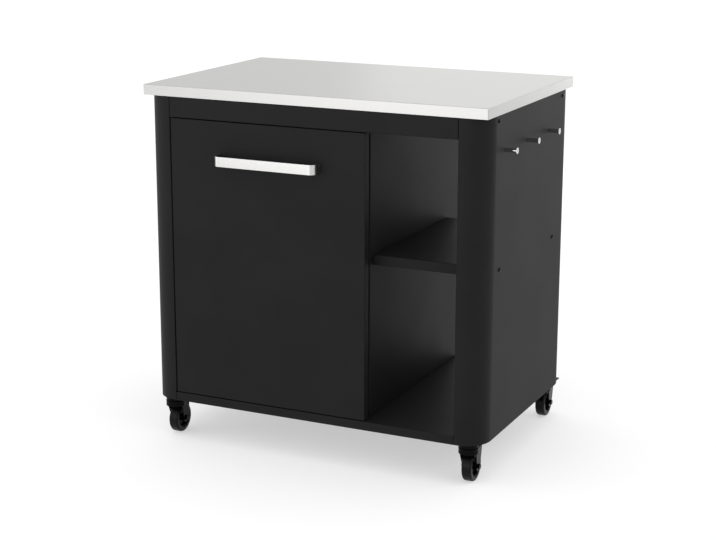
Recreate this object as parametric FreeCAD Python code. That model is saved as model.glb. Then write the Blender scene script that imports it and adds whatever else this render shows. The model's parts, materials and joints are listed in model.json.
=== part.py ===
import FreeCAD, Part
import math
import os

# Outdoor grill cart with storage: a sheet-metal cabinet on four swivel casters under a folded
# steel worktop, with a tall pull-out behind a flush front panel on the left and two open
# compartments on the right.
# X runs to the right, Y to the back and Z up. All sizes are in millimetres.

# Worktop
worktop_width = 900.0
worktop_depth = 600.0
worktop_edge = 25.5          # height of the turned-down edge
worktop_sheet = 1.2
worktop_return = 14.0        # lip folded inward under the edge
worktop_corner_round = 1.6   # ground and polished corner welds
core_clearance = 0.3

# Cabinet shell
cart_height = 905.0
body_bottom = 103.5          # height of the underside above the floor
body_overhang = 1.4          # worktop past the cabinet on every side
body_sheet = 1.5
column_radius = 63.0         # rolled corners of the side panels
column_front = 70.1          # width of a column seen from the front
column_return = 25.0         # inner fold of a column, running back into the cabinet
fold_radius = 2.0
seat_gap = 0.3               # between curved sheets that lie against each other

# Rails and floor; the cabinet is open at the back
rail_sheet = 1.2
rail_height = 50.3
rail_top_flange = 45.0
rail_bottom_flange = 28.0
rail_end_gap = 0.9
tray_lip = 21.8              # height of the floor tray's front and rear lips
side_rail_drop = 34.0
side_rail_flange = 26.0
side_rail_sheet = 1.5
beam_width = 86.0            # caster beams under the floor
beam_sheet = 2.5
tray_ear_inset = 8.6         # rear ears of the floor tray end this far inside the cabinet's sides
tray_ear_depth = 27.0

# Divider and shelf
divider_step = 3.0           # the divider's face lies this far inside the front panel's edge
divider_flange = 22.5
divider_front_gap = 14.5     # between the front panel's back and the divider
shelf_top = 527.0
shelf_drop = 24.5
shelf_depth = 459.0
shelf_recess = 55.6          # front lip behind the cabinet's front
shelf_sheet = 1.2
shelf_side_gap = 0.8

# Front panel of the pull-out
front_left_gap = 3.2
front_width = 522.8
front_gap_top = 2.4
front_gap_bottom = 2.4
front_thick = 22.0
front_sheet = 1.2
liner_sheet = 1.0

# Handle: a bent flat strap
handle_length = 273.5
handle_height = 24.0
handle_reach = 34.5
handle_strap = 3.0
handle_bend = 18.0
handle_foot = 18.0
handle_shift = 9.7           # handle centre to the right of the front panel's centre
handle_foot_height = 10.0    # the feet are narrower tabs, hidden behind the strap
handle_below_top = 90.9      # handle centre below the front panel's top edge

# Pull-out tray, its braces and runners
pull_out_travel = 450.0
tray_width = 400.0
tray_depth = 480.0
tray_wall = 50.0
tray_sheet = 1.5
tray_above_floor = 7.5
brace_height = 336.0         # above the tray's wall
brace_foot = 150.0
brace_flange = 25.0
brace_sheet = 1.5
brace_nose = 10.0
runner_length = 500.0
runner_thick = 12.7
runner_height = 45.0
runner_sheet = 1.5
runner_gap = 0.3             # between members that slide in each other
runner_front_gap = 4.6       # between the front panel's back and the runners
bracket_sheet = 2.0
bracket_foot = 20.0
bumper_radius = 6.0
bumper_inset = 70.0          # from the front panel's top and bottom

# Utensil pegs on the right side
peg_spacing = 150.0
peg_centre_y = -33.0
peg_drop = 85.5              # below the worktop's underside
peg_shank_radius = 5.0
peg_shank_length = 27.0
peg_head_radius = 7.6
peg_head_thick = 3.6
peg_stud_radius = 2.5
peg_nut_across = 8.0
peg_nut_thick = 4.0

# Screws
screw_radius = 2.0
screw_head_radius = 4.3
screw_head_thick = 2.0
screw_length = 9.0
side_screw_inset = 75.1      # from the cabinet's front and back
side_screw_drop = 13.5       # below the worktop's underside
shelf_screw_inset = 41.0
worktop_screw_radius = 2.2
worktop_screw_length = 14.0
worktop_screw_inset = 77.6   # from the ends of the rails

# Casters
caster_inset_x = 44.6        # swivel axes from the cabinet's sides
caster_inset_y = 36.6        # and from its front and back
caster_turn = 1.3            # degrees, how the forks stand in the rest position
caster_trail = 20.0
wheel_radius = 37.5
tyre_width = 25.0
tyre_shoulder = 5.0
hub_radius = 26.5
hub_width = 22.0
hub_web = 9.0
hub_boss_radius = 9.0
hub_rim = 3.5
hub_side_gap = 1.3           # between the hub's boss and a leg at the axle
stem_radius = 5.0
stem_past_nut = 2.5
stem_nut_across = 16.0
stem_nut_thick = 8.0
race_radius = 24.0
race_height = 12.2
race_lip = 2.5
kingpin_radius = 5.0
kingpin_head_radius = 8.5
kingpin_head_thick = 2.5
swivel_gap = 0.3
kingpin_clearance = 0.08
crown_radius = 24.5
crown_thick = 3.0
crown_skirt = 14.0           # from the crown's top down to the rim over the wheel
groove_drop = 6.4            # groove round the skirt, below the crown's top
groove_height = 1.5
groove_depth = 0.9
leg_outer_at_top = 23.2
leg_front = 9.5              # a leg's top reaches this far before the swivel axis
leg_rear = 30.0              # and this far behind it
leg_thick = 2.5
leg_inner_at_axle = 16.2
leg_end_radius = 11.5
axle_radius = 4.0
axle_clearance = 0.06
axle_nut_across = 12.0
axle_nut_thick = 3.5
axle_nut_seat = 0.9          # nuts stand off the leaning legs

# Derived planes
body_top = cart_height - worktop_edge
half_width = worktop_width / 2 - body_overhang
half_depth = worktop_depth / 2 - body_overhang
inner_half_width = half_width - body_sheet
column_inner = half_width - column_front
rail_half = column_inner - rail_end_gap
rail_bottom = body_top - rail_height
floor_top = body_bottom + tray_lip
floor_bottom = floor_top - body_sheet
beam_top = floor_bottom
front_left = -column_inner + front_left_gap
front_right = front_left + front_width
divider_right = front_right - divider_step
front_bottom = floor_top + front_gap_bottom
front_top = rail_bottom - front_gap_top
front_centre = (front_left + front_right) / 2
front_back = -half_depth + front_thick
divider_front = front_back + divider_front_gap
shelf_front = -half_depth + shelf_recess
shelf_rear = shelf_front + shelf_depth
shelf_right = inner_half_width - shelf_side_gap
shelf_middle = shelf_top - shelf_drop / 2
handle_centre_x = front_centre + handle_shift
handle_centre_z = front_top - handle_below_top
peg_height = body_top - peg_drop
side_screw_y = half_depth - side_screw_inset
side_screw_height = body_top - side_screw_drop
worktop_screw_x = rail_half - worktop_screw_inset
caster_x = half_width - caster_inset_x
caster_y = half_depth - caster_inset_y
tray_bottom = floor_top + tray_above_floor
tray_left = front_centre - tray_width / 2
tray_right = front_centre + tray_width / 2
tray_top = tray_bottom + tray_wall
runner_middle_z = tray_bottom + tray_wall / 2
runner_front = front_back + runner_front_gap
race_top = body_bottom
race_bottom = race_top - race_height
crown_top = race_bottom - swivel_gap
crown_bottom = crown_top - crown_thick

# The part's origin is on the floor under the middle of its bounding box
turn = math.radians(caster_turn)
tyre_reach_back = (
    (wheel_radius - tyre_shoulder) * math.cos(turn)
    + (tyre_width / 2 - tyre_shoulder) * math.sin(turn)
    + tyre_shoulder
)
rearmost = caster_y + caster_trail * math.cos(turn) + tyre_reach_back
foremost = -half_depth - handle_reach
rightmost = half_width + peg_shank_length + peg_head_thick
leftmost = -max(worktop_width / 2, half_width + screw_head_thick)
origin_x = (leftmost + rightmost) / 2
origin_y = (foremost + rearmost) / 2

X_AXIS = FreeCAD.Vector(1, 0, 0)
Y_AXIS = FreeCAD.Vector(0, 1, 0)
Z_AXIS = FreeCAD.Vector(0, 0, 1)


def point(x, y, z):
    return FreeCAD.Vector(x, y, z)


def block(x0, x1, y0, y1, z0, z1):
    """A box between two corners."""
    return Part.makeBox(x1 - x0, y1 - y0, z1 - z0, point(x0, y0, z0))


def rod(start, direction, radius, length):
    return Part.makeCylinder(radius, length, start, direction)


def edges_along(shape, direction, keep):
    """Straight edges that run along a direction and whose middle passes the keep test."""
    found = []
    for edge in shape.Edges:
        if not isinstance(edge.Curve, Part.Line):
            continue
        if abs(abs(edge.Curve.Direction.dot(direction)) - 1) > 1e-6:
            continue
        if keep(edge.CenterOfMass):
            found.append(edge)
    return found


def rounded_block(x0, x1, y0, y1, z0, z1, radius, keep):
    """A box whose upright edges that pass the keep test are rounded."""
    solid = block(x0, x1, y0, y1, z0, z1)
    return solid.makeFillet(radius, edges_along(solid, Z_AXIS, keep))


def hex_prism(start, direction, across, thick):
    """A hexagonal prism, the measure given across its flats."""
    corner = across / math.sqrt(3)
    side = Y_AXIS if abs(direction.dot(Y_AXIS)) < 0.5 else X_AXIS
    other = direction.cross(side)
    corners = []
    for index in range(7):
        angle = math.radians(60 * index)
        corners.append(start + side * (corner * math.cos(angle)) + other * (corner * math.sin(angle)))
    face = Part.Face(Part.makePolygon(corners))
    return face.extrude(direction * thick)


def plate_yz(outline, x0, x1):
    """A flat plate with an outline of (y, z) points between two X planes."""
    corners = [point(x0, y, z) for y, z in outline + outline[:1]]
    return Part.Face(Part.makePolygon(corners)).extrude(X_AXIS * (x1 - x0))


def mirror_x(shape):
    return shape.mirror(point(0, 0, 0), X_AXIS)


def inner_plan(clear, z0, z1):
    """The room inside the two rolled side panels, drawn in by a clearance."""
    x = inner_half_width - clear
    y = half_depth - body_sheet - clear
    radius = column_radius - body_sheet - clear
    return rounded_block(-x, x, -y, y, z0, z1, radius, lambda middle: True)


def screw(start, direction, radius, length, head_radius, head_thick):
    """A pan-head screw: start is the middle of the face that its head lies on."""
    shank = rod(start, direction, radius, length)
    head = rod(start - direction * head_thick, direction, head_radius, head_thick)
    rim = [edge for edge in head.Edges if abs((edge.CenterOfMass - start).dot(direction) + head_thick) < 1e-6]
    head = head.makeFillet(head_thick * 0.45, rim)
    return head.fuse(shank)


# Worktop

def worktop_skin():
    x = worktop_width / 2
    y = worktop_depth / 2
    top = cart_height
    skin = block(-x, x, -y, y, body_top, top)
    skin = skin.makeFillet(worktop_corner_round, edges_along(skin, Z_AXIS, lambda middle: True))
    upper = [edge for edge in skin.Edges if abs(edge.BoundBox.ZMin - top) < 1e-6]
    skin = skin.makeFillet(worktop_corner_round * 0.8, upper)
    inner_x = x - worktop_sheet
    inner_y = y - worktop_sheet
    room = block(-inner_x, inner_x, -inner_y, inner_y, body_top + worktop_sheet, top - worktop_sheet)
    mouth_x = inner_x - worktop_return
    mouth_y = inner_y - worktop_return
    mouth = block(-mouth_x, mouth_x, -mouth_y, mouth_y, body_top, body_top + worktop_sheet)
    return skin.cut(room).cut(mouth)


def worktop_screw_places():
    """Screw places under the worktop: along both top rails and both side rails."""
    y = half_depth - rail_top_flange / 2
    places = [(sx * worktop_screw_x, sy * y) for sx in (-1, 0, 1) for sy in (-1, 1)]
    x = inner_half_width - side_rail_flange * 0.6
    places += [(-x, 0.0), (x, 0.0)]
    return places


def worktop_core():
    x = worktop_width / 2 - worktop_sheet - core_clearance
    y = worktop_depth / 2 - worktop_sheet - core_clearance
    core = block(-x, x, -y, y, body_top + worktop_sheet, cart_height - worktop_sheet)
    return core.cut(worktop_screws())


def worktop_screws():
    screws = []
    for x, y in worktop_screw_places():
        sheet = side_rail_sheet if y == 0.0 else rail_sheet
        start = point(x, y, body_top - sheet)
        screws.append(
            screw(start, Z_AXIS, worktop_screw_radius, worktop_screw_length, screw_head_radius, screw_head_thick)
        )
    return Part.makeCompound(screws)


# Cabinet shell

def side_panel_blank():
    """The right side panel: one sheet rolled round both corners, with folded inner edges."""
    y = half_depth
    outside = lambda middle: middle.x > column_inner + column_front / 2
    blank = rounded_block(column_inner, half_width, -y, y, body_bottom, body_top, column_radius, outside)
    folds = edges_along(blank, Z_AXIS, lambda middle: middle.x < column_inner + 1)
    blank = blank.makeFillet(fold_radius, folds)
    sheet = body_sheet
    room = rounded_block(
        column_inner + sheet, half_width - sheet, -y + sheet, y - sheet,
        body_bottom, body_top, column_radius - sheet, outside,
    )
    blank = blank.cut(room)
    reach = y - column_return
    window = block(column_inner - 1, column_inner + sheet + 0.01, -reach, reach, body_bottom, body_top)
    foot_x = column_inner + fold_radius
    foot = block(column_inner - 1, foot_x, -y + sheet, y - sheet, body_bottom, floor_top + front_gap_bottom)
    return blank.cut(window).cut(foot)


def side_screw_places():
    """(y, z) of the screws through a side panel into the side rail."""
    return [(-side_screw_y, side_screw_height), (side_screw_y, side_screw_height)]


def shelf_screw_places():
    """(y, z) of the screws into the shelf's side flanges."""
    return [(shelf_front + shelf_screw_inset, shelf_middle), (shelf_rear - shelf_screw_inset, shelf_middle)]


def side_screws(places, side):
    """Screws through a side panel, side is 1 on the right and -1 on the left."""
    screws = []
    for y, z in places:
        start = point(side * half_width, y, z)
        screws.append(
            screw(start, X_AXIS * -side, screw_radius, screw_length, screw_head_radius, screw_head_thick)
        )
    return screws


def peg_places():
    return [peg_centre_y + step * peg_spacing for step in (-1, 0, 1)]


def right_side_panel():
    panel = side_panel_blank()
    for hole in side_screws(side_screw_places() + shelf_screw_places(), 1):
        panel = panel.cut(hole)
    for y in peg_places():
        start = point(inner_half_width - 1, y, peg_height)
        panel = panel.cut(rod(start, X_AXIS, peg_stud_radius, body_sheet + 2))
    return panel


def left_side_panel():
    panel = mirror_x(side_panel_blank())
    for hole in side_screws(side_screw_places(), -1):
        panel = panel.cut(hole)
    return panel


def side_rail(side):
    """Angle along the top of a side panel, which the worktop rests on."""
    outer = inner_half_width
    y = half_depth - column_radius
    sheet = side_rail_sheet
    rail = block(outer - sheet, outer, -y, y, body_top - side_rail_drop, body_top)
    rail = rail.fuse(block(outer - side_rail_flange, outer, -y, y, body_top - sheet, body_top)).removeSplitter()
    if side < 0:
        rail = mirror_x(rail)
    for tool in side_screws(side_screw_places(), side):
        rail = rail.cut(tool)
    return rail.cut(worktop_screws())


def side_panel_screws():
    places = side_screw_places()
    right = side_screws(places + shelf_screw_places(), 1)
    return Part.makeCompound(right + side_screws(places, -1))


def top_rail(face, inward):
    """Channel rail under the worktop; face is its outer Y plane, inward +1 or -1 towards the middle."""
    x = rail_half
    sheet = rail_sheet
    spans = (
        (sheet, rail_bottom, body_top),
        (rail_top_flange, body_top - sheet, body_top),
        (rail_bottom_flange, rail_bottom, rail_bottom + sheet),
    )
    rail = None
    for reach, z0, z1 in spans:
        far = face + inward * reach
        piece = block(-x, x, min(face, far), max(face, far), z0, z1)
        rail = piece if rail is None else rail.fuse(piece)
    rail = rail.removeSplitter()
    front = edges_along(rail, X_AXIS, lambda middle: abs(middle.y - face) < 1e-6)
    rail = rail.makeFillet(sheet * 0.9, front)
    return rail.cut(worktop_screws())


def front_top_rail():
    return top_rail(-half_depth, 1)


def rear_top_rail():
    return top_rail(half_depth, -1)


def tray_ear(side):
    """Flat ear under a rear column, on the foot of the rear lip, with its corner past the rounding."""
    x0 = rail_half - 2 * tray_ear_inset
    x1 = half_width - tray_ear_inset
    low = body_bottom - body_sheet
    ear = block(x0, x1, half_depth - tray_ear_depth, half_depth, low, body_bottom)
    room = rod(point(caster_x, caster_y, low - 1), Z_AXIS, race_radius + seat_gap, body_sheet + 2)
    ear = ear.cut(room)
    return ear if side > 0 else mirror_x(ear)


def base_tray():
    """Floor sheet with a front and a rear lip, notched round the columns."""
    notch = half_depth - column_return - seat_gap
    floor = inner_plan(seat_gap, floor_bottom, floor_top)
    for sx in (-1, 1):
        for sy in (-1, 1):
            x0, x1 = sorted((sx * rail_half, sx * worktop_width))
            y0, y1 = sorted((sy * notch, sy * worktop_depth))
            floor = floor.cut(block(x0, x1, y0, y1, floor_bottom - 1, floor_top + 1))
    for face, inward in ((-half_depth, 1), (half_depth, -1)):
        near = face + inward * body_sheet
        lip = block(-rail_half, rail_half, min(face, near), max(face, near), body_bottom, floor_top)
        flat_end = inward * -(half_depth - column_radius)
        flat = block(
            -rail_half, rail_half, min(face, flat_end), max(face, flat_end), floor_bottom, floor_top
        )
        floor = floor.fuse(lip).fuse(flat)
    floor = floor.fuse([tray_ear(1), tray_ear(-1)]).removeSplitter()
    bends = edges_along(
        floor, X_AXIS, lambda middle: abs(abs(middle.y) - half_depth) < 1e-6 and middle.z > floor_bottom
    )
    return floor.makeFillet(body_sheet * 0.9, bends)


def caster_places():
    """Name and place of every swivel axis."""
    places = []
    for row, sy in (("front", -1), ("rear", 1)):
        for side, sx in (("left", -1), ("right", 1)):
            places.append((row + "_" + side, sx * caster_x, sy * caster_y))
    return places


def caster_stem():
    """Upper race disc with the threaded stem above it and the kingpin below."""
    race = rod(point(0, 0, race_bottom), Z_AXIS, race_radius, race_height)
    lower = [e for e in race.Edges if abs(e.BoundBox.ZMax - race_bottom) < 1e-6]
    race = race.makeFillet(race_lip, lower)
    stem = rod(point(0, 0, race_top), Z_AXIS, stem_radius, beam_sheet + stem_nut_thick + stem_past_nut)
    pin_bottom = crown_bottom - swivel_gap
    pin = rod(point(0, 0, pin_bottom), Z_AXIS, kingpin_radius, race_bottom - pin_bottom)
    head = rod(point(0, 0, pin_bottom - kingpin_head_thick), Z_AXIS, kingpin_head_radius, kingpin_head_thick)
    rim = [e for e in head.Edges if abs(e.BoundBox.ZMax - (pin_bottom - kingpin_head_thick)) < 1e-6]
    head = head.makeFillet(kingpin_head_thick * 0.6, rim)
    return race.fuse([stem, pin, head]).removeSplitter()


def caster_nuts():
    """Nuts on the stems, inside the caster beams."""
    nuts = []
    for name, x, y in caster_places():
        start = point(x, y, race_top + beam_sheet)
        nut = hex_prism(start, Z_AXIS, stem_nut_across, stem_nut_thick)
        nuts.append(nut.cut(rod(start, Z_AXIS, stem_radius, stem_nut_thick)))
    return Part.makeCompound(nuts)


def caster_beam(side):
    """Pan-shaped beam under the floor, along a side panel, that carries two casters."""
    outer = inner_plan(seat_gap, body_bottom, beam_top)
    inner_edge = inner_half_width - beam_width
    keep = block(inner_edge, worktop_width, -worktop_depth, worktop_depth, body_bottom, beam_top)
    solid = outer.common(keep)
    sheet = beam_sheet
    hollow = inner_plan(seat_gap + sheet, body_bottom + sheet, beam_top)
    room = block(
        inner_edge + sheet, worktop_width, -worktop_depth, worktop_depth, body_bottom + sheet, beam_top
    )
    beam = solid.cut(hollow.common(room))
    if side < 0:
        beam = mirror_x(beam)
    for name, x, y in caster_places():
        beam = beam.cut(rod(point(x, y, race_top - 1), Z_AXIS, stem_radius, beam_sheet + 2))
    return beam


def divider_panel():
    """Upright sheet with all four edges folded to the left."""
    x1 = divider_right
    x0 = x1 - divider_flange
    sheet = rail_sheet
    outer = block(x0, x1, divider_front, half_depth, floor_top, rail_bottom)
    folds = edges_along(outer, Z_AXIS, lambda middle: middle.x > x0 + 1)
    outer = outer.makeFillet(fold_radius, folds)
    room = block(
        x0 - 1, x1 - sheet, divider_front + sheet, half_depth - sheet, floor_top + sheet, rail_bottom - sheet
    )
    return outer.cut(room).cut(shelf_screws())


def shelf_screws():
    """Screws through the divider into the shelf's left flange."""
    screws = []
    for y, z in shelf_screw_places():
        start = point(divider_right - rail_sheet, y, z)
        screws.append(screw(start, X_AXIS, screw_radius, screw_length, screw_head_radius, screw_head_thick))
    return Part.makeCompound(screws)


def shelf():
    """Shallow pan turned upside down: a flat top with four edges folded down."""
    x0 = divider_right
    x1 = shelf_right
    z0 = shelf_top - shelf_drop
    sheet = shelf_sheet
    outer = block(x0, x1, shelf_front, shelf_rear, z0, shelf_top)
    rims = edges_along(outer, X_AXIS, lambda middle: middle.z > z0 + 1)
    outer = outer.makeFillet(fold_radius, rims)
    room = block(x0 + sheet, x1 - sheet, shelf_front + sheet, shelf_rear - sheet, z0, shelf_top - sheet)
    solid = outer.cut(room).cut(shelf_screws())
    for hole in side_screws(shelf_screw_places(), 1):
        solid = solid.cut(hole)
    return solid


# Pegs

def peg(y):
    """Turned peg: a stud through the side panel, a shank and a wider head."""
    start = point(half_width, y, peg_height)
    stud = rod(point(inner_half_width - peg_nut_thick, y, peg_height), X_AXIS, peg_stud_radius,
               body_sheet + peg_nut_thick)
    shank = rod(start, X_AXIS, peg_shank_radius, peg_shank_length)
    head = rod(start + X_AXIS * peg_shank_length, X_AXIS, peg_head_radius, peg_head_thick)
    head = head.makeFillet(peg_head_thick * 0.25, [e for e in head.Edges if isinstance(e.Curve, Part.Circle)])
    return stud.fuse([shank, head])


def peg_nuts():
    nuts = []
    for y in peg_places():
        start = point(inner_half_width, y, peg_height)
        nut = hex_prism(start, X_AXIS * -1, peg_nut_across, peg_nut_thick)
        nuts.append(nut.cut(rod(start, X_AXIS * -1, peg_stud_radius, peg_nut_thick)))
    return Part.makeCompound(nuts)


# Pull-out

def handle_foot_places():
    """X of the two screws into the handle's feet."""
    reach = handle_length / 2 - handle_strap - handle_foot * 0.55
    return [handle_centre_x - reach, handle_centre_x + reach]


def handle_screws():
    screws = []
    for x in handle_foot_places():
        start = point(x, -half_depth + front_sheet, handle_centre_z)
        length = front_sheet + handle_strap * 0.8
        screws.append(screw(start, Y_AXIS * -1, screw_radius, length, screw_head_radius, screw_head_thick))
    return Part.makeCompound(screws)


def drawer_front():
    """Folded front panel: one face with four edges turned back."""
    front = -half_depth
    outer = block(front_left, front_right, front, front_back, front_bottom, front_top)
    rims = edges_along(outer, Z_AXIS, lambda middle: middle.y < front + 1)
    rims += edges_along(outer, X_AXIS, lambda middle: middle.y < front + 1)
    outer = outer.makeFillet(front_sheet, rims)
    sheet = front_sheet
    room = block(
        front_left + sheet, front_right - sheet, front + sheet, front_back,
        front_bottom + sheet, front_top - sheet,
    )
    return outer.cut(room).cut(handle_screws())


def drawer_liner():
    """Flat sheet that closes the front panel from behind."""
    inset = front_sheet
    y0 = front_back - liner_sheet
    return block(
        front_left + inset, front_right - inset, y0, front_back, front_bottom + inset, front_top - inset
    )


def handle():
    """Flat strap bent back at both ends, with feet turned inward against the panel."""
    x0 = handle_centre_x - handle_length / 2
    x1 = handle_centre_x + handle_length / 2
    back = -half_depth
    front = back - handle_reach
    z0 = handle_centre_z - handle_height / 2
    z1 = handle_centre_z + handle_height / 2
    strap = handle_strap
    at_front = lambda middle: middle.y < front + strap + 1
    outer = rounded_block(x0, x1, front, back, z0, z1, handle_bend, at_front)
    room = rounded_block(
        x0 + strap, x1 - strap, front + strap, back - strap, z0, z1, handle_bend - strap, at_front
    )
    foot = strap + handle_foot
    window = block(x0 + foot, x1 - foot, back - strap - 0.01, back, z0, z1)
    half_tab = handle_foot_height / 2
    above = block(x0 + strap, x1 - strap, back - strap - 0.01, back, handle_centre_z + half_tab, z1)
    below = block(x0 + strap, x1 - strap, back - strap - 0.01, back, z0, handle_centre_z - half_tab)
    bare = outer.cut(room).cut(window).cut(above).cut(below)
    return bare.cut(handle_screws())


def pull_out_tray():
    """Open pan that carries the load, its front wall against the front panel."""
    y0 = front_back
    y1 = y0 + tray_depth
    sheet = tray_sheet
    outer = block(tray_left, tray_right, y0, y1, tray_bottom, tray_top)
    room = block(tray_left + sheet, tray_right - sheet, y0 + sheet, y1 - sheet, tray_bottom + sheet, tray_top)
    return outer.cut(room)


def brace(side):
    """Upright plate that stiffens the front panel over the tray, with a flange on the panel."""
    outer = (tray_right if side > 0 else tray_left) - side * tray_sheet
    inner = outer - side * brace_sheet
    top = tray_top + brace_height
    low = tray_bottom + tray_sheet
    wall = front_back + tray_sheet
    outline = [
        (wall, low), (wall, tray_top), (front_back, tray_top), (front_back, top),
        (front_back + brace_nose, top), (front_back + brace_foot, tray_top), (front_back + brace_foot, low),
    ]
    plate = plate_yz(outline, min(outer, inner), max(outer, inner))
    far = outer - side * brace_flange
    flange = block(
        min(outer, far), max(outer, far), front_back, front_back + brace_sheet, tray_top, top
    )
    return plate.fuse(flange).removeSplitter()


def channel(x_web, x_mouth, height, length, sheet):
    """C section along Y, its web at x_web and its lips reaching to x_mouth."""
    z0 = runner_middle_z - height / 2
    z1 = runner_middle_z + height / 2
    step = sheet if x_mouth > x_web else -sheet
    y0 = runner_front
    y1 = runner_front + length
    outer = block(min(x_web, x_mouth), max(x_web, x_mouth), y0, y1, z0, z1)
    inner_web = x_web + step
    room_end = x_mouth + step
    room = block(min(inner_web, room_end), max(inner_web, room_end), y0, y1, z0 + sheet, z1 - sheet)
    return outer.cut(room)


def runner_planes(side):
    """X of the bracket face and of the tray's wall that a runner lies between."""
    if side > 0:
        return tray_right + runner_thick, tray_right
    return tray_left - runner_thick, tray_left


def runner_member(side, member):
    """Outer, middle or inner member of a telescopic runner."""
    bracket_face, wall = runner_planes(side)
    inward = -side
    nest = runner_sheet + runner_gap
    lip_room = runner_thick - runner_gap
    if member == "outer":
        return channel(bracket_face, bracket_face + inward * lip_room, runner_height, runner_length, runner_sheet)
    if member == "middle":
        web = bracket_face + inward * nest
        mouth = wall - inward * (runner_sheet + runner_gap)
        return channel(web, mouth, runner_height - 2 * nest, runner_length, runner_sheet)
    mouth = bracket_face + inward * 2 * nest
    return channel(wall, mouth, runner_height - 4 * nest, runner_length, runner_sheet)


def runner_bracket(side):
    """Angle on the floor that holds a runner's outer member."""
    bracket_face, wall = runner_planes(side)
    outer = bracket_face + side * bracket_sheet
    foot = outer + side * bracket_foot
    y1 = runner_front + runner_length
    top = runner_middle_z + runner_height / 2
    upright = block(min(bracket_face, outer), max(bracket_face, outer), runner_front, y1, floor_top, top)
    sole = block(
        min(bracket_face, foot), max(bracket_face, foot), runner_front, y1, floor_top, floor_top + bracket_sheet
    )
    return upright.fuse(sole).removeSplitter()


def front_bumpers():
    """Two rubber pads on the back of the front panel that meet the divider."""
    x = divider_right - divider_flange / 2
    thick = divider_front_gap - seat_gap
    pads = []
    for z in (front_bottom + bumper_inset, front_top - bumper_inset):
        pads.append(rod(point(x, front_back, z), Y_AXIS, bumper_radius, thick))
    return Part.makeCompound(pads)


# Casters, each drawn with its swivel axis on the Z axis and its wheel behind it

def fork_outline(top, reach):
    """Side view of a leg: wide under the crown and rounded about the axle."""
    sides = plate_yz(
        [
            (-leg_front, top), (leg_rear, top),
            (caster_trail + leg_end_radius, wheel_radius), (caster_trail - leg_end_radius, wheel_radius),
        ],
        -reach, reach,
    )
    end = rod(point(-reach, caster_trail, wheel_radius), X_AXIS, leg_end_radius, 2 * reach)
    return sides.fuse(end)


def fork_leg(side):
    """Tapered leg from the crown down to the axle, leaning in a little."""
    top = crown_top
    low = wheel_radius - leg_end_radius
    end_outer = leg_inner_at_axle + leg_thick
    lean = (leg_outer_at_top - end_outer) / (top - wheel_radius)
    low_outer = end_outer - lean * leg_end_radius
    slab_points = [
        (leg_outer_at_top - leg_thick, top), (leg_outer_at_top, top),
        (low_outer, low), (low_outer - leg_thick, low),
    ]
    corners = [point(side * x, -2 * leg_rear, z) for x, z in slab_points + slab_points[:1]]
    slab = Part.Face(Part.makePolygon(corners)).extrude(Y_AXIS * (4 * leg_rear))
    return slab.common(fork_outline(top, crown_radius + leg_thick))


def caster_fork():
    """Pressed fork: a round crown with a grooved skirt, and a bridge that turns down into two legs."""
    def ring(low, high, outer, inner):
        start = point(0, 0, low)
        return rod(start, Z_AXIS, outer, high - low).cut(rod(start, Z_AXIS, inner, high - low))

    skirt = ring(crown_top - crown_skirt, crown_top, crown_radius, crown_radius - leg_thick)
    crown = rod(point(0, 0, crown_bottom), Z_AXIS, crown_radius, crown_thick).fuse(skirt).removeSplitter()
    rim = [
        e for e in crown.Edges
        if isinstance(e.Curve, Part.Circle) and abs(e.BoundBox.ZMin - crown_top) < 1e-6
    ]
    crown = crown.makeFillet(crown_thick * 0.3, rim)
    groove_top = crown_top - groove_drop
    crown = crown.cut(
        ring(groove_top - groove_height, groove_top, crown_radius + leg_thick, crown_radius - groove_depth)
    )
    half = leg_outer_at_top - leg_thick / 2
    bridge = block(-half, half, 0, leg_rear, crown_bottom, crown_top - crown_thick * 0.3)
    fork = crown.fuse([bridge, fork_leg(1), fork_leg(-1)]).removeSplitter()
    pin_hole = kingpin_radius + kingpin_clearance
    fork = fork.cut(rod(point(0, 0, crown_bottom - 1), Z_AXIS, pin_hole, crown_thick + 2))
    start = point(-crown_radius * 2, caster_trail, wheel_radius)
    return fork.cut(rod(start, X_AXIS, axle_radius, crown_radius * 4))


def wheel_body(profile):
    """Turned solid about the wheel's axle from a profile of (distance along the axle, radius)."""
    centre = point(0, caster_trail, wheel_radius)
    corners = [centre + point(along, 0, radius) for along, radius in profile + profile[:1]]
    face = Part.Face(Part.makePolygon(corners))
    return face.revolve(centre, X_AXIS, 360)


def caster_tyre():
    half = tyre_width / 2
    tyre = wheel_body([(-half, hub_radius), (half, hub_radius), (half, wheel_radius), (-half, wheel_radius)])
    rims = [
        e for e in tyre.Edges if isinstance(e.Curve, Part.Circle) and abs(e.Curve.Radius - wheel_radius) < 1e-6
    ]
    return tyre.makeFillet(tyre_shoulder, rims)


def caster_hub():
    """Moulded hub: rim, thinner web and a boss that runs on the axle."""
    rim = hub_width / 2
    web = hub_web / 2
    boss = leg_inner_at_axle - hub_side_gap
    bore = axle_radius + axle_clearance
    rim_in = hub_radius - hub_rim
    return wheel_body([
        (-boss, bore), (boss, bore), (boss, hub_boss_radius), (web, hub_boss_radius), (web, rim_in),
        (rim, rim_in), (rim, hub_radius), (-rim, hub_radius), (-rim, rim_in), (-web, rim_in),
        (-web, hub_boss_radius), (-boss, hub_boss_radius),
    ])


def caster_axle():
    """Axle bolt with its head outside one leg and its nut outside the other."""
    reach = leg_inner_at_axle + leg_thick + axle_nut_seat
    centre = point(0, caster_trail, wheel_radius)
    shaft = rod(centre - X_AXIS * reach, X_AXIS, axle_radius, 2 * reach)
    head = hex_prism(centre + X_AXIS * reach, X_AXIS, axle_nut_across, axle_nut_thick)
    nut = hex_prism(centre - X_AXIS * reach, X_AXIS * -1, axle_nut_across, axle_nut_thick)
    return shaft.fuse([head, nut])


def at_caster(shape, x, y, turned):
    """A caster's piece moved to its place; the fork and wheel also stand turned."""
    placed = shape.copy()
    if turned:
        placed.rotate(point(0, 0, 0), Z_AXIS, caster_turn)
    placed.translate(point(x, y, 0))
    return placed


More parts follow.
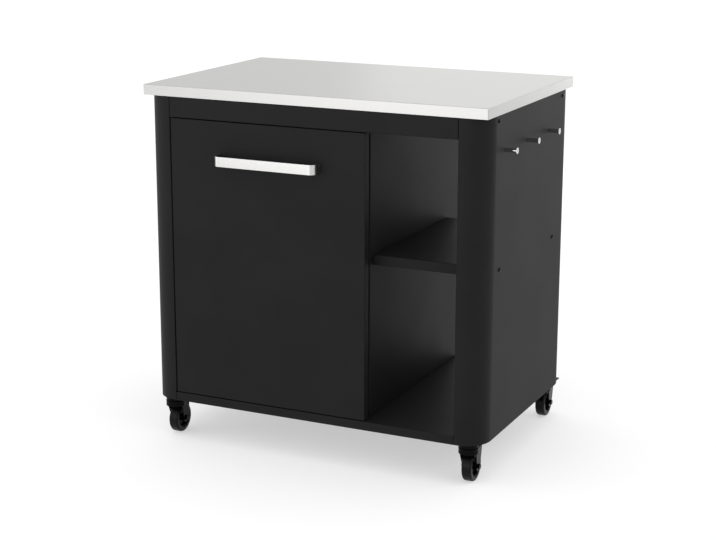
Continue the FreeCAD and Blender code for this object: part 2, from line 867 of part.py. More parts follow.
def build():
    """Every node's name and shape."""
    nodes = {
        "worktop_skin": worktop_skin(),
        "worktop_core": worktop_core(),
        "worktop_screws": worktop_screws(),
        "left_side_panel": left_side_panel(),
        "right_side_panel": right_side_panel(),
        "left_side_rail": side_rail(-1),
        "right_side_rail": side_rail(1),
        "front_top_rail": front_top_rail(),
        "rear_top_rail": rear_top_rail(),
        "side_panel_screws": side_panel_screws(),
        "base_tray": base_tray(),
        "left_caster_beam": caster_beam(-1),
        "right_caster_beam": caster_beam(1),
        "caster_nuts": caster_nuts(),
        "divider_panel": divider_panel(),
        "shelf": shelf(),
        "shelf_screws": shelf_screws(),
        "peg_nuts": peg_nuts(),
        "drawer_front": drawer_front(),
        "drawer_liner": drawer_liner(),
        "handle": handle(),
        "handle_screws": handle_screws(),
        "pull_out_tray": pull_out_tray(),
        "front_bumpers": front_bumpers(),
    }
    for name, y in zip(("front", "middle", "rear"), peg_places()):
        nodes["peg_" + name] = peg(y)
    for name, side in (("left", -1), ("right", 1)):
        nodes[name + "_brace"] = brace(side)
        nodes[name + "_runner_bracket"] = runner_bracket(side)
        for member in ("outer", "middle", "inner"):
            nodes[name + "_runner_" + member] = runner_member(side, member)
    stem = caster_stem()
    pieces = {"fork": caster_fork(), "tyre": caster_tyre(), "hub": caster_hub(), "axle": caster_axle()}
    for name, x, y in caster_places():
        nodes[name + "_caster_stem"] = at_caster(stem, x, y, False)
        for piece, shape in pieces.items():
            nodes[name + "_caster_" + piece] = at_caster(shape, x, y, True)
    return nodes


def write(nodes):
    os.makedirs("parts", exist_ok=True)
    for name, shape in nodes.items():
        placed = shape.copy()
        placed.translate(point(-origin_x, -origin_y, 0))
        placed.exportStep("parts/" + name + ".step")


if __name__ == "__main__":
    write(build())
    print("origin", round(origin_x, 3), round(origin_y, 3))
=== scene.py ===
import bpy
import json
import math
from mathutils import Euler, Matrix, Vector


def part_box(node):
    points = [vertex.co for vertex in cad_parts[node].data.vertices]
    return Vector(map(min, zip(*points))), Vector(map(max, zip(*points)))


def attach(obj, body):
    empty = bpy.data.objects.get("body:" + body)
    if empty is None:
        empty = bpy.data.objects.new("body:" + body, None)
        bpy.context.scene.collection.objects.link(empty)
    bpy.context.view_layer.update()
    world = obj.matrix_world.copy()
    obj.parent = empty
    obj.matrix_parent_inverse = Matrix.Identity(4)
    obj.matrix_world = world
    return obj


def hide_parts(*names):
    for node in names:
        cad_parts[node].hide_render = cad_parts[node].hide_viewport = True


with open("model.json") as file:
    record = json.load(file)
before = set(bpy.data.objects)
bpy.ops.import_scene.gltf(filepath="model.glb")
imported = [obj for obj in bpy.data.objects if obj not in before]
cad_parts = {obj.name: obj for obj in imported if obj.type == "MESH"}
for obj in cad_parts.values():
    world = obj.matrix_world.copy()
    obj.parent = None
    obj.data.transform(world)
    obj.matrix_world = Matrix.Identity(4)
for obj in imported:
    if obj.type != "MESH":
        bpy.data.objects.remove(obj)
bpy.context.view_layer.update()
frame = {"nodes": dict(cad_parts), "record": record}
bodies = frame["record"]["behaviour"]["bodies"]
bodyOfNode = {node: body for body, nodes in bodies.items() for node in nodes}
print("frame loaded:", len(frame["nodes"]), "nodes")

mm = 0.001
touching = 0.001 * mm    # points nearer than this share a place or a plane
straight = 0.9           # share of a direction along an axis from which it counts as running that way
smoothAngle = 32         # faces that meet within this many degrees shade as one round surface
edgeSteps = 2            # segments across a broken edge
mergeWithin = 0.01 * mm  # corners of loose triangles this close become one
flatWithin = 1.0         # degrees between triangles that are one flat face

# Picking


def deselectAll():
    if bpy.context.mode != "OBJECT":
        bpy.ops.object.mode_set(mode="OBJECT")
    bpy.ops.object.select_all(action="DESELECT")


def makeActive(piece):
    deselectAll()
    piece.select_set(True)
    bpy.context.view_layer.objects.active = piece


def near(first, second):
    return abs(first - second) < touching


def along(direction, axis):
    return abs(getattr(direction, axis)) > straight


def towards(direction, axis, sign):
    return getattr(direction, axis) * sign > straight


def clearPicks(piece, kind):
    makeActive(piece)
    bpy.ops.object.mode_set(mode="EDIT")
    bpy.ops.mesh.select_mode(type=kind)
    bpy.ops.mesh.select_all(action="DESELECT")
    bpy.ops.object.mode_set(mode="OBJECT")


def pickEdges(piece, wanted):
    # wanted gets an edge's middle and its direction
    clearPicks(piece, "EDGE")
    for edge in piece.data.edges:
        start, end = (piece.data.vertices[i].co for i in edge.vertices)
        edge.select = bool(wanted((start + end) / 2, (end - start).normalized()))
    bpy.ops.object.mode_set(mode="EDIT")


def pickFaces(piece, wanted):
    # wanted gets a face's middle and its normal
    clearPicks(piece, "FACE")
    for face in piece.data.polygons:
        face.select = bool(wanted(face.center, face.normal))
    bpy.ops.object.mode_set(mode="EDIT")


# Shaping


def applyPlace(piece):
    makeActive(piece)
    bpy.ops.object.transform_apply(location=True, rotation=True, scale=True)


def addBlock(name, low, high):
    deselectAll()
    bpy.ops.mesh.primitive_cube_add(size=1, location=(low + high) / 2)
    block = bpy.context.active_object
    block.name = block.data.name = name
    block.scale = high - low
    applyPlace(block)
    return block


def addRod(name, start, radius, length, steps):
    # a closed cylinder from a start point along +X
    deselectAll()
    bpy.ops.mesh.primitive_cylinder_add(
        vertices=steps, radius=radius, depth=length,
        location=Vector(start) + Vector((length / 2, 0, 0)), rotation=(0, math.pi / 2, 0),
    )
    rod = bpy.context.active_object
    rod.name = rod.data.name = name
    applyPlace(rod)
    return rod


def roundEdges(piece, width, steps, wanted):
    pickEdges(piece, wanted)
    bpy.ops.mesh.bevel(offset=width, offset_type="OFFSET", segments=steps, affect="EDGES")
    bpy.ops.object.mode_set(mode="OBJECT")


def deleteFaces(piece, wanted):
    pickFaces(piece, wanted)
    bpy.ops.mesh.delete(type="FACE")
    bpy.ops.object.mode_set(mode="OBJECT")


def cutAcross(piece, place, normal, wanted):
    # a straight cut through the wanted faces
    pickFaces(piece, wanted)
    bpy.ops.mesh.bisect(plane_co=place, plane_no=normal)
    bpy.ops.object.mode_set(mode="OBJECT")


def insetFace(piece, wanted, margin):
    pickFaces(piece, wanted)
    bpy.ops.mesh.inset(thickness=margin, use_boundary=True)


def pushPicked(step):
    bpy.ops.mesh.extrude_region_move(TRANSFORM_OT_translate={"value": step})


def applyModifier(piece, kind, **settings):
    makeActive(piece)
    modifier = piece.modifiers.new(kind.title(), kind)
    for key, value in settings.items():
        setattr(modifier, key, value)
    bpy.ops.object.modifier_apply(modifier=modifier.name)


def thicken(piece, sheet):
    # sheet metal: the wall grows inward from the outer face
    applyModifier(piece, "SOLIDIFY", thickness=sheet, offset=-1.0, use_even_offset=True)


def breakEdges(piece, width, angle):
    # only where faces meet at more than the angle
    applyModifier(piece, "BEVEL", width=width, segments=edgeSteps, limit_method="ANGLE",
                  angle_limit=math.radians(angle))


def smoothPiece(piece):
    # large faces stay flat and the bends between them shade round
    makeActive(piece)
    bpy.ops.object.shade_smooth_by_angle(angle=math.radians(smoothAngle))
    applyModifier(piece, "WEIGHTED_NORMAL", mode="FACE_AREA", keep_sharp=True)


def joinPieces(name, parts):
    deselectAll()
    for part in parts:
        part.select_set(True)
    bpy.context.view_layer.objects.active = parts[0]
    bpy.ops.object.join()
    joined = bpy.context.active_object
    joined.name = joined.data.name = name
    return joined


def copyOf(piece, name, place, turn):
    # a copy with its own mesh, turned about the upright axis and then moved
    makeActive(piece)
    bpy.ops.object.duplicate(linked=False)
    copied = bpy.context.active_object
    copied.name = copied.data.name = name
    if turn:
        bpy.ops.object.mode_set(mode="EDIT")
        bpy.ops.mesh.select_all(action="SELECT")
        # with no window it turns the other way
        bpy.ops.transform.rotate(value=-turn, orient_axis="Z", center_override=(0, 0, 0))
        bpy.ops.object.mode_set(mode="OBJECT")
    copied.location = place
    applyPlace(copied)
    return copied


def dressedCopy(node, name, width, angle):
    # the CAD solid's own faces, merged and with broken edges
    deselectAll()
    copied = bpy.data.objects.new(name, frame["nodes"][node].data.copy())
    copied.data.name = name
    bpy.context.scene.collection.objects.link(copied)
    makeActive(copied)
    bpy.ops.mesh.customdata_custom_splitnormals_clear()
    bpy.ops.object.mode_set(mode="EDIT")
    bpy.ops.mesh.select_all(action="SELECT")
    bpy.ops.mesh.remove_doubles(threshold=mergeWithin)
    bpy.ops.mesh.dissolve_limited(angle_limit=math.radians(flatWithin))
    bpy.ops.object.mode_set(mode="OBJECT")
    if width:
        breakEdges(copied, width, angle)
    return copied


def finishPiece(piece, material, slotName, *nodes):
    # nodes are the CAD nodes that this piece stands for
    piece.data.materials.clear()
    piece.data.materials.append(material)
    smoothPiece(piece)
    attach(piece, bodyOfNode[nodes[0]])
    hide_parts(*nodes)


def camelName(words):
    first, *others = words.split("_")
    return first + "".join(word.title() for word in others)


# Materials

noiseRange = (0.3, 0.7)        # nearly all values of a noise pattern lie between these
mottleRange = (0.35, 0.65)     # a little closer together, for plainer light and dark parts
linesTurn = 0.6                # share of a normal along X from which brush lines run along Y


def hexColour(text):
    # an sRGB hex value as a linear colour
    values = [int(text[i:i + 2], 16) / 255 for i in (1, 3, 5)]
    linear = [v / 12.92 if v <= 0.04045 else ((v + 0.055) / 1.055) ** 2.4 for v in values]
    return (*linear, 1.0)


def addNode(tree, kind, sockets=None, **settings):
    # sockets takes values, or outputs of other nodes to link
    node = tree.nodes.new(kind)
    for key, value in settings.items():
        setattr(node, key, value)
    for key, value in (sockets or {}).items():
        if isinstance(value, bpy.types.NodeSocket):
            tree.links.new(value, node.inputs[key])
        else:
            node.inputs[key].default_value = value
    return node


def startMaterial(name):
    material = bpy.data.materials.new(name)
    material.use_nodes = True
    tree = material.node_tree
    shader = tree.nodes["Principled BSDF"]
    return material, tree, shader


def applyFinish(tree, shader, look, mottle, relief, colourRange):
    # the mottle shifts colour and gloss a little, and the relief raises the surface
    ramp = addNode(tree, "ShaderNodeValToRGB", {"Fac": mottle})
    stops = zip(ramp.color_ramp.elements, colourRange, (look["colour"], look["colourLight"]))
    for element, position, colour in stops:
        element.position = position
        element.color = hexColour(colour)
    gloss = addNode(tree, "ShaderNodeMapRange", {
        "Value": mottle, "From Min": noiseRange[0], "From Max": noiseRange[1],
        "To Min": look["roughness"] - look["spread"], "To Max": look["roughness"] + look["spread"],
    })
    bump = addNode(tree, "ShaderNodeBump", {"Height": relief, "Distance": look["bump"], "Strength": 1.0})
    tree.links.new(ramp.outputs["Color"], shader.inputs["Base Color"])
    tree.links.new(gloss.outputs["Result"], shader.inputs["Roughness"])
    tree.links.new(bump.outputs["Normal"], shader.inputs["Normal"])


# Polyester powder coat, baked: a near-black satin film with a faint orange peel, so it shows
# soft broad reflections and almost no grain.
powderCoatLook = {
    "colour": "#1c1c1d", "colourLight": "#1f1f20", "roughness": 0.52, "spread": 0.02,
    "bump": 0.010 * mm, "specular": 0.09, "peel": 2.2 * mm, "cloud": 120 * mm,
}


def makePowderCoat(name, look):
    material, tree, shader = startMaterial(name)
    place = addNode(tree, "ShaderNodeTexCoord").outputs["Object"]
    # the real peel is about half a millimetre, drawn coarser so that it shows at all
    peel = addNode(tree, "ShaderNodeTexNoise", {
        "Vector": place, "Scale": 1 / look["peel"], "Detail": 2.0,
    })
    cloud = addNode(tree, "ShaderNodeTexNoise", {
        "Vector": place, "Scale": 1 / look["cloud"], "Detail": 3.0,
    })
    applyFinish(tree, shader, look, cloud.outputs["Fac"], peel.outputs["Fac"], mottleRange)
    shader.inputs["Specular IOR Level"].default_value = look["specular"]
    return material


# Stainless sheet, grade 304 with a No. 4 brushed finish: fine straight lines along the sheet's
# length that stretch every reflection across them.
brushedSteelLook = {
    "colour": "#b6b6b5", "colourLight": "#bcbbba", "roughness": 0.34, "spread": 0.04,
    "bump": 0.002 * mm, "lineWidth": 0.9 * mm, "lineLength": 160 * mm,
}
# The handle's stainless strap: the same brush lines, buffed a little brighter.
strapSteelLook = {
    "colour": "#c0c0bf", "colourLight": "#c8c7c5", "roughness": 0.26, "spread": 0.03,
    "bump": 0.002 * mm, "lineWidth": 0.7 * mm, "lineLength": 90 * mm,
}


def makeBrushedSteel(name, look):
    material, tree, shader = startMaterial(name)
    coords = addNode(tree, "ShaderNodeTexCoord")
    # brush lines are really 0.1 mm apart, drawn about 1 mm apart so that they show
    across, lengthways = 1 / look["lineWidth"], 1 / look["lineLength"]
    brushed = []
    for scale in ((lengthways, across, across), (across, lengthways, across)):
        lines = addNode(tree, "ShaderNodeMapping", {"Vector": coords.outputs["Object"], "Scale": scale})
        noise = addNode(tree, "ShaderNodeTexNoise", {
            "Vector": lines.outputs["Vector"], "Scale": 1.0, "Detail": 4.0,
        })
        brushed.append(noise.outputs["Fac"])
    # faces that look along X carry their lines along Y
    facing = addNode(tree, "ShaderNodeSeparateXYZ", {"Vector": coords.outputs["Normal"]})
    share = addNode(tree, "ShaderNodeMath", {0: facing.outputs["X"]}, operation="ABSOLUTE")
    turned = addNode(tree, "ShaderNodeMath", {
        0: share.outputs["Value"], 1: linesTurn,
    }, operation="GREATER_THAN")
    grain = addNode(tree, "ShaderNodeMix", {
        "Factor": turned.outputs["Value"], "A": brushed[0], "B": brushed[1],
    }, data_type="FLOAT").outputs["Result"]
    applyFinish(tree, shader, look, grain, grain, noiseRange)
    shader.inputs["Metallic"].default_value = 1.0
    return material


def makePlain(name, look):
    # one colour with a fine mottle in colour and gloss, and a fine bump
    material, tree, shader = startMaterial(name)
    place = addNode(tree, "ShaderNodeTexCoord").outputs["Object"]
    grain = addNode(tree, "ShaderNodeTexNoise", {
        "Vector": place, "Scale": 1 / look["grain"], "Detail": 3.0,
    }).outputs["Fac"]
    applyFinish(tree, shader, look, grain, grain, mottleRange)
    shader.inputs["Metallic"].default_value = look["metallic"]
    if "specular" in look:
        shader.inputs["Specular IOR Level"].default_value = look["specular"]
    return material


# Zinc electroplate on pressed or drawn steel: cool grey, faintly cloudy, half bright.
zincLook = {
    "colour": "#8f9194", "colourLight": "#a7a9ab", "roughness": 0.34, "spread": 0.06,
    "bump": 0.004 * mm, "grain": 3 * mm, "metallic": 1.0,
}
# Chrome electroplate on turned steel: mirror bright with the lathe's faint rings smoothed out.
chromeLook = {
    "colour": "#bdbec0", "colourLight": "#c6c7c9", "roughness": 0.08, "spread": 0.03,
    "bump": 0.001 * mm, "grain": 2 * mm, "metallic": 1.0,
}
# Black electrophoretic coat on pressed steel: thin, even, fairly glossy.
blackCoatLook = {
    "colour": "#020202", "colourLight": "#050506", "roughness": 0.20, "spread": 0.04,
    "bump": 0.004 * mm, "grain": 1.5 * mm, "metallic": 0.0, "specular": 0.07,
}
# Injection-moulded black nylon: matt with a fine spark-eroded grain.
nylonLook = {
    "colour": "#020202", "colourLight": "#050506", "roughness": 0.34, "spread": 0.06,
    "bump": 0.012 * mm, "grain": 1.2 * mm, "metallic": 0.0, "specular": 0.07,
}
# Thermoplastic rubber tread, moulded: soft sheen, slightly dusty where it runs.
rubberLook = {
    "colour": "#050505", "colourLight": "#0a0a0a", "roughness": 0.34, "spread": 0.08,
    "bump": 0.015 * mm, "grain": 4 * mm, "metallic": 0.0, "specular": 0.14,
}
# Particleboard: pressed wood chips, raw on its underside.
chipboardLook = {
    "colour": "#9c7f57", "colourLight": "#c2a679", "roughness": 0.75, "spread": 0.06,
    "bump": 0.08 * mm, "grain": 5 * mm, "metallic": 0.0, "specular": 0.3,
}

powderCoat = makePowderCoat("powderCoatCharcoal", powderCoatLook)
brushedSteel = makeBrushedSteel("stainlessBrushed", brushedSteelLook)
strapSteel = makeBrushedSteel("stainlessStrap", strapSteelLook)
zinc = makePlain("zincPlate", zincLook)
chrome = makePlain("chromePlate", chromeLook)
blackCoat = makePlain("blackCoatedSteel", blackCoatLook)
nylon = makePlain("nylonMoulded", nylonLook)
rubber = makePlain("rubberTread", rubberLook)
chipboard = makePlain("particleboard", chipboardLook)
print("materials ready:", len(bpy.data.materials))

# Worktop

worktopSettings = {
    "cornerRound": 1.6 * mm, "edgeRound": 1.3 * mm, "roundSteps": 4, "sheet": 1.2 * mm,
    "returnLip": 14.0 * mm,
}


def makeWorktop(settings):
    low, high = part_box("worktop_skin")
    middle = (low + high) / 2
    size = high - low
    sheet = settings["sheet"]
    lip = sheet + settings["returnLip"]
    skin = addBlock("worktopSkin", low, high)
    # the opening between the lips that are turned inward under the edge
    insetFace(skin, lambda place, normal: towards(normal, "z", -1), lip)
    pushPicked((0, 0, sheet))
    # above the lips it widens to the hollow that the board fills
    pushPicked((0, 0, 0))
    grow = [(side - 2 * sheet) / (side - 2 * lip) for side in size]
    bpy.ops.transform.resize(value=(grow[0], grow[1], 1.0), center_override=middle)
    pushPicked((0, 0, size.z - 2 * sheet))
    bpy.ops.object.mode_set(mode="OBJECT")
    # the outer corners are welded and ground, the upper edge is a tight fold
    roundEdges(
        skin, settings["cornerRound"], settings["roundSteps"],
        lambda place, way: along(way, "z") and (near(place.x, low.x) or near(place.x, high.x)),
    )
    roundEdges(skin, settings["edgeRound"], settings["roundSteps"],
               lambda place, way: near(place.z, high.z))
    finishPiece(skin, brushedSteel, "worktop", "worktop_skin")


makeWorktop(worktopSettings)
print("worktop made")

# Cabinet

columnSettings = {
    "radius": 63.0 * mm, "arcSteps": 24, "fold": 25.0 * mm, "foldRound": 2.0 * mm, "foldSteps": 4,
    "sheet": 1.5 * mm, "edge": 0.25 * mm, "edgeAngle": 60,
}


def makeSidePanel(settings, node, side):
    # one sheet rolled round both corners; side is 1 on the right and -1 on the left
    low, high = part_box(node)
    outer, inner = (high.x, low.x) if side > 0 else (low.x, high.x)
    foldFront, foldRear = low.y + settings["fold"], high.y - settings["fold"]
    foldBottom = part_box("drawer_front")[0].z

    def onInner(place, normal):
        return near(place.x, inner) and along(normal, "x")

    def isOpen(place, normal):
        return onInner(place, normal) and (place.z < foldBottom or foldFront < place.y < foldRear)

    def isFold(place, way):
        atEnd = near(place.y, low.y) or near(place.y, high.y)
        return along(way, "z") and near(place.x, inner) and place.z > foldBottom and atEnd

    panel = addBlock(camelName(node), low, high)
    roundEdges(panel, settings["radius"], settings["arcSteps"],
               lambda place, way: along(way, "z") and near(place.x, outer))
    deleteFaces(panel, lambda place, normal: along(normal, "z"))
    for foldEnd in (foldFront, foldRear):
        cutAcross(panel, (0, foldEnd, 0), (0, 1, 0), onInner)
    cutAcross(panel, (0, 0, foldBottom), (0, 0, 1), onInner)
    deleteFaces(panel, isOpen)
    roundEdges(panel, settings["foldRound"], settings["foldSteps"], isFold)
    thicken(panel, settings["sheet"])
    breakEdges(panel, settings["edge"], settings["edgeAngle"])
    finishPiece(panel, powderCoat, "shell", node)


makeSidePanel(columnSettings, "right_side_panel", 1)
makeSidePanel(columnSettings, "left_side_panel", -1)

foldedSettings = {
    "sheet": 1.2 * mm, "edge": 0.2 * mm, "edgeAngle": 60, "roundSteps": 4,
    # outer fold radius of each piece
    "round": {
        "front_top_rail": 1.4 * mm, "rear_top_rail": 1.4 * mm, "drawer_front": 1.5 * mm,
        "divider_panel": 2.0 * mm, "shelf": 2.0 * mm,
    },
    "railLowerFlange": 28.0 * mm,
}


def foldedPan(node, name, settings, isOpen, cut=None):
    # a box of sheet with some faces left out, its folds rounded
    low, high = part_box(node)
    pan = addBlock(name, low, high)
    deleteFaces(pan, isOpen)
    if cut:
        cut(pan, low, high)
    faceCount = {}
    for face in pan.data.polygons:
        for key in face.edge_keys:
            faceCount[key] = faceCount.get(key, 0) + 1
    # a fold is an edge of the box that two faces share
    folds = []
    vertices = pan.data.vertices
    for (start, end), count in faceCount.items():
        middle = (vertices[start].co + vertices[end].co) / 2
        sides = sum(near(m, a) or near(m, b) for m, a, b in zip(middle, low, high))
        if count > 1 and sides > 1:
            folds.append(middle)
    roundEdges(pan, settings["round"][node], settings["roundSteps"],
               lambda place, way: any((place - fold).length < touching for fold in folds))
    thicken(pan, settings["sheet"])
    breakEdges(pan, settings["edge"], settings["edgeAngle"])
    finishPiece(pan, powderCoat, "shell", node)


def makeTopRail(node, settings, outward):
    # outward is -1 for the front rail and 1 for the rear one
    def isLower(place, normal):
        return towards(normal, "z", -1)

    def cutLower(pan, low, high):
        front = low.y if outward < 0 else high.y
        flangeEnd = front - outward * settings["railLowerFlange"]
        cutAcross(pan, (0, flangeEnd, 0), (0, 1, 0), isLower)
        # the part of the lower face past the flange
        deleteFaces(pan, lambda place, normal: isLower(place, normal) and (place.y - flangeEnd) * outward < 0)

    # the ends are turned in, so that the joint beside each column is a dark line
    foldedPan(node, camelName(node), settings, lambda place, normal: towards(normal, "y", -outward), cutLower)


makeTopRail("front_top_rail", foldedSettings, -1)
makeTopRail("rear_top_rail", foldedSettings, 1)
foldedPan("shelf", "shelfPan", foldedSettings, lambda place, normal: towards(normal, "z", -1))
foldedPan("divider_panel", "dividerPanel", foldedSettings, lambda place, normal: towards(normal, "x", -1))
foldedPan("drawer_front", "frontPanel", foldedSettings, lambda place, normal: towards(normal, "y", 1))
print("cabinet made")

# Handle

handleSettings = {"edge": 0.3 * mm, "edgeAngle": 50}


def makeHandle(settings):
    # a strap bent back at both ends, with narrow feet turned inward along the panel
    strap = dressedCopy("handle", "handleStrap", settings["edge"], settings["edgeAngle"])
    finishPiece(strap, strapSteel, "handle", "handle")


makeHandle(handleSettings)
print("handle made")

# Pegs and screws

pegSettings = {
    "shankRadius": 5.0 * mm, "headRadius": 7.6 * mm, "headThick": 3.6 * mm, "headRound": 1.0 * mm,
    "studRadius": 2.5 * mm, "roundSteps": 4, "steps": 48, "studSteps": 24,
}


def makePegs(settings):
    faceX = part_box("right_side_panel")[1].x
    for node in ("peg_front", "peg_middle", "peg_rear"):
        low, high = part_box(node)
        middle = (low + high) / 2
        headX = high.x - settings["headThick"]
        rod = addRod("pegRod", (faceX, middle.y, middle.z), settings["shankRadius"], headX - faceX,
                     settings["steps"])
        head = addRod("pegHead", (headX, middle.y, middle.z), settings["headRadius"], settings["headThick"],
                      settings["steps"])
        roundEdges(head, settings["headRound"], settings["roundSteps"],
                   lambda place, way: not along(way, "x"))
        stud = addRod("pegStud", (low.x, middle.y, middle.z), settings["studRadius"], faceX - low.x,
                      settings["studSteps"])
        peg = joinPieces(camelName(node), [rod, head, stud])
        finishPiece(peg, chrome, "peg", node)


makePegs(pegSettings)

screwSettings = {
    "headRadius": 4.3 * mm, "headThick": 2.0 * mm, "crown": 0.8 * mm, "socketRadius": 1.5 * mm,
    "socketDepth": 1.0 * mm, "shankRadius": 2.0 * mm, "length": 9.0 * mm, "crownSteps": 4,
    "headSteps": 32, "shankSteps": 20, "flatness": 0.01 * mm,
}


def middleOf(points):
    return sum(points, Vector((0, 0, 0))) / len(points)


def screwPlaces(settings, flatX):
    # the middles of the CAD heads' flat faces that lie in one upright plane
    heads = []
    for face in frame["nodes"]["side_panel_screws"].data.polygons:
        if abs(face.center.x - flatX) < settings["flatness"]:
            centre = face.center.copy()
            found = [head for head in heads if (middleOf(head) - centre).length < settings["headRadius"]]
            if found:
                found[0].append(centre)
            else:
                heads.append([centre])
    return [middleOf(head) for head in heads]


def makeSideScrews(settings):
    # button-head screws, one modelled at the origin and copied to each CAD place
    head = addRod("screwHead", (0, 0, 0), settings["headRadius"], settings["headThick"],
                  settings["headSteps"])
    roundEdges(head, settings["crown"], settings["crownSteps"],
               lambda place, way: near(place.x, settings["headThick"]))
    insetFace(head, lambda place, normal: towards(normal, "x", 1),
              settings["headRadius"] - settings["crown"] - settings["socketRadius"])
    pushPicked((-settings["socketDepth"], 0, 0))
    bpy.ops.object.mode_set(mode="OBJECT")
    shank = addRod("screwShank", (-settings["length"], 0, 0), settings["shankRadius"], settings["length"],
                   settings["shankSteps"])
    master = joinPieces("screwMaster", [head, shank])
    low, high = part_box("side_panel_screws")
    copies = []
    for flatX, panelX, turn in (
        (high.x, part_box("right_side_panel")[1].x, 0.0),
        (low.x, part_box("left_side_panel")[0].x, math.pi),
    ):
        for place in screwPlaces(settings, flatX):
            place.x = panelX
            copies.append(copyOf(master, "sideScrew", place, turn))
    bpy.data.objects.remove(master)
    print("side screws:", len(copies))
    finishPiece(joinPieces("sideScrews", copies), blackCoat, "panel_screw", "side_panel_screws")


makeSideScrews(screwSettings)
print("pegs and screws made")

# Casters

casterSettings = {"edge": 0.5 * mm, "forkEdge": 0.6 * mm, "tyreEdge": 0.0, "edgeAngle": 50}


def makeCasters(settings):
    for caster in ("front_left", "front_right", "rear_left", "rear_right"):
        for part, material, slotName, edge in (
            ("stem", blackCoat, "caster_metal", "edge"),
            ("fork", blackCoat, "caster_metal", "forkEdge"),
            ("axle", blackCoat, "caster_metal", "edge"),
            ("hub", nylon, "hub", "edge"),
            ("tyre", rubber, "tyre", "tyreEdge"),
        ):
            node = caster + "_caster_" + part
            dressed = dressedCopy(node, camelName(caster + "_" + part), settings[edge], settings["edgeAngle"])
            finishPiece(dressed, material, slotName, node)


makeCasters(casterSettings)
print("casters made")

# Sheet pieces that keep their CAD shape and only get broken edges

sheetSettings = {
    "edgeAngle": 40,
    "edge": {
        "base_tray": 0.30 * mm, "left_caster_beam": 0.40 * mm, "right_caster_beam": 0.40 * mm,
        "left_side_rail": 0.25 * mm, "right_side_rail": 0.25 * mm, "pull_out_tray": 0.25 * mm,
        "left_brace": 0.25 * mm, "right_brace": 0.25 * mm, "left_runner_bracket": 0.30 * mm,
        "right_runner_bracket": 0.30 * mm,
    },
}


def makeSheets(settings):
    for node, width in settings["edge"].items():
        sheet = dressedCopy(node, camelName(node), width, settings["edgeAngle"])
        finishPiece(sheet, powderCoat, "shell", node)


makeSheets(sheetSettings)
print("inner sheet pieces made")

# Nodes that are shown as they are

keptNodes = {
    "worktop_core": chipboard, "worktop_screws": zinc, "caster_nuts": zinc, "shelf_screws": zinc,
    "peg_nuts": zinc, "handle_screws": zinc, "drawer_liner": powderCoat, "front_bumpers": rubber,
    "left_runner_outer": zinc, "left_runner_middle": zinc, "left_runner_inner": zinc,
    "right_runner_outer": zinc, "right_runner_middle": zinc, "right_runner_inner": zinc,
}
for node, material in keptNodes.items():
    mesh = frame["nodes"][node].data
    mesh.materials.clear()
    mesh.materials.append(material)
print("kept nodes finished:", len(keptNodes))

# Floor, sky and lamps

floorSettings = {"size": 60.0, "colour": "#cfcfcf", "roughness": 0.9, "glow": 0.47}
skySettings = {"light": 0.92, "seen": 1.0}


def seenRays(tree):
    # 1 for camera, glossy and transmission rays, 0 for the rest
    rays = addNode(tree, "ShaderNodeLightPath").outputs
    seen = rays["Is Camera Ray"]
    for other in ("Is Glossy Ray", "Is Transmission Ray"):
        either = addNode(tree, "ShaderNodeMath", {0: seen, 1: rays[other]}, operation="MAXIMUM")
        seen = either.outputs["Value"]
    return seen


def makeFloor(settings):
    deselectAll()
    bpy.ops.mesh.primitive_plane_add(size=settings["size"], location=(0, 0, 0))
    floor = bpy.context.active_object
    floor.name = "floor"
    material, tree, shader = startMaterial("floorPaper")
    shader.inputs["Base Color"].default_value = hexColour(settings["colour"])
    shader.inputs["Roughness"].default_value = settings["roughness"]
    shader.inputs["Specular IOR Level"].default_value = 0.0
    # seen directly or in a reflection the paper is lifted to white, and it keeps the shadow
    shader.inputs["Emission Color"].default_value = (1, 1, 1, 1)
    glow = addNode(tree, "ShaderNodeMath", {0: seenRays(tree), 1: settings["glow"]}, operation="MULTIPLY")
    tree.links.new(glow.outputs["Value"], shader.inputs["Emission Strength"])
    floor.data.materials.append(material)


def makeSky(settings):
    world = bpy.data.worlds.new("studio")
    bpy.context.scene.world = world
    world.use_nodes = True
    tree = world.node_tree
    tree.nodes.clear()
    strength = addNode(tree, "ShaderNodeMapRange", {
        "Value": seenRays(tree), "To Min": settings["light"], "To Max": settings["seen"],
    })
    sky = addNode(tree, "ShaderNodeBackground", {
        "Color": (1, 1, 1, 1), "Strength": strength.outputs["Result"],
    })
    addNode(tree, "ShaderNodeOutputWorld", {"Surface": sky.outputs["Background"]})


makeFloor(floorSettings)
makeSky(skySettings)

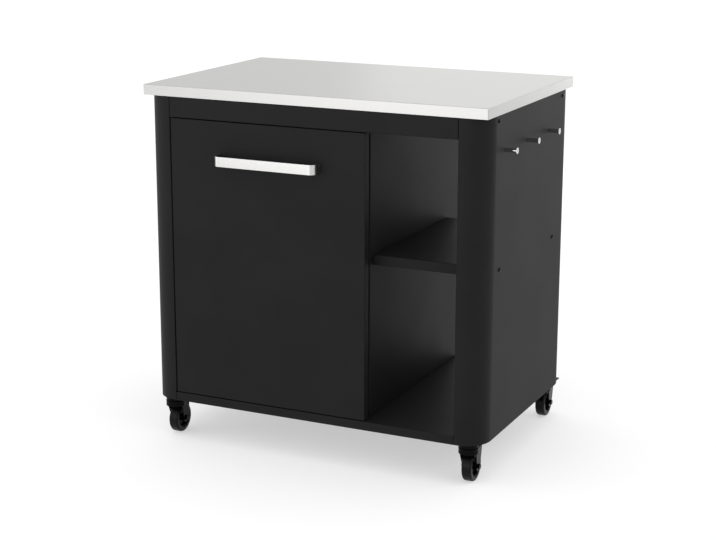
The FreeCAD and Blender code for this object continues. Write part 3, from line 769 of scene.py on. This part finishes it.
lampSettings = {
    # each softbox's place, aim and size in metres and its power in watts
    "frontSoftbox": {"place": (-0.6, -3.6, 0.9), "aim": (0, 0, 0.45), "size": (3.0, 1.6), "power": 21},
    "rightSoftbox": {"place": (3.1, 0.3, 2.3), "aim": (0.3, 0, 0.9), "size": (2.4, 1.6), "power": 9},
    "leftSoftbox": {"place": (-3.0, -1.9, 0.9), "aim": (-0.4, -0.2, 0.45), "size": (1.6, 1.6), "power": 11},
    "backSoftbox": {"place": (0.5, 3.9, 0.8), "aim": (0.2, 0, 0.5), "size": (2.2, 1.0), "power": 12},
    "topSoftbox": {"place": (-0.9, 4.6, 2.3), "aim": (0.2, 0, 0.9), "size": (2.4, 2.0), "power": 5},
}


def makeLamps(settings):
    for name, lamp in settings.items():
        light = bpy.data.lights.new(name, "AREA")
        light.shape = "RECTANGLE"
        light.size, light.size_y = lamp["size"]
        light.energy = lamp["power"]
        holder = bpy.data.objects.new(name, light)
        bpy.context.scene.collection.objects.link(holder)
        holder.location = lamp["place"]
        aim = Vector(lamp["aim"]) - Vector(lamp["place"])
        holder.rotation_euler = aim.to_track_quat("-Z", "Y").to_euler()


makeLamps(lampSettings)

# Camera

cameraSettings = {
    # from the floor under the worktop's middle; angles in degrees, focal length and width in pixels
    "place": (1740.8 * mm, -3700.6 * mm, 1460.2 * mm), "azimuth": 25.33, "elevation": 14.3, "roll": 0.12,
    "focal": 1649.33, "imageWidth": 716, "sensorWidth": 36.0, "nearest": 0.05, "farthest": 100.0,
}


def makeCamera(settings):
    azimuth, elevation, roll = (math.radians(settings[key]) for key in ("azimuth", "elevation", "roll"))
    camera = bpy.data.cameras.new("photoCamera")
    camera.sensor_width = settings["sensorWidth"]
    camera.lens = settings["focal"] / settings["imageWidth"] * settings["sensorWidth"]
    camera.clip_start, camera.clip_end = settings["nearest"], settings["farthest"]
    holder = bpy.data.objects.new("photoCamera", camera)
    bpy.context.scene.collection.objects.link(holder)
    low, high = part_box("worktop_skin")
    underWorktop = Vector(((low.x + high.x) / 2, (low.y + high.y) / 2, 0))
    holder.location = underWorktop + Vector(settings["place"])
    level = Euler((math.pi / 2 - elevation, 0, azimuth)).to_matrix()
    holder.rotation_euler = (level @ Matrix.Rotation(roll, 3, "Z")).to_euler()
    bpy.context.scene.camera = holder


makeCamera(cameraSettings)
bpy.context.scene.view_settings.view_transform = "Standard"
print("stage ready")
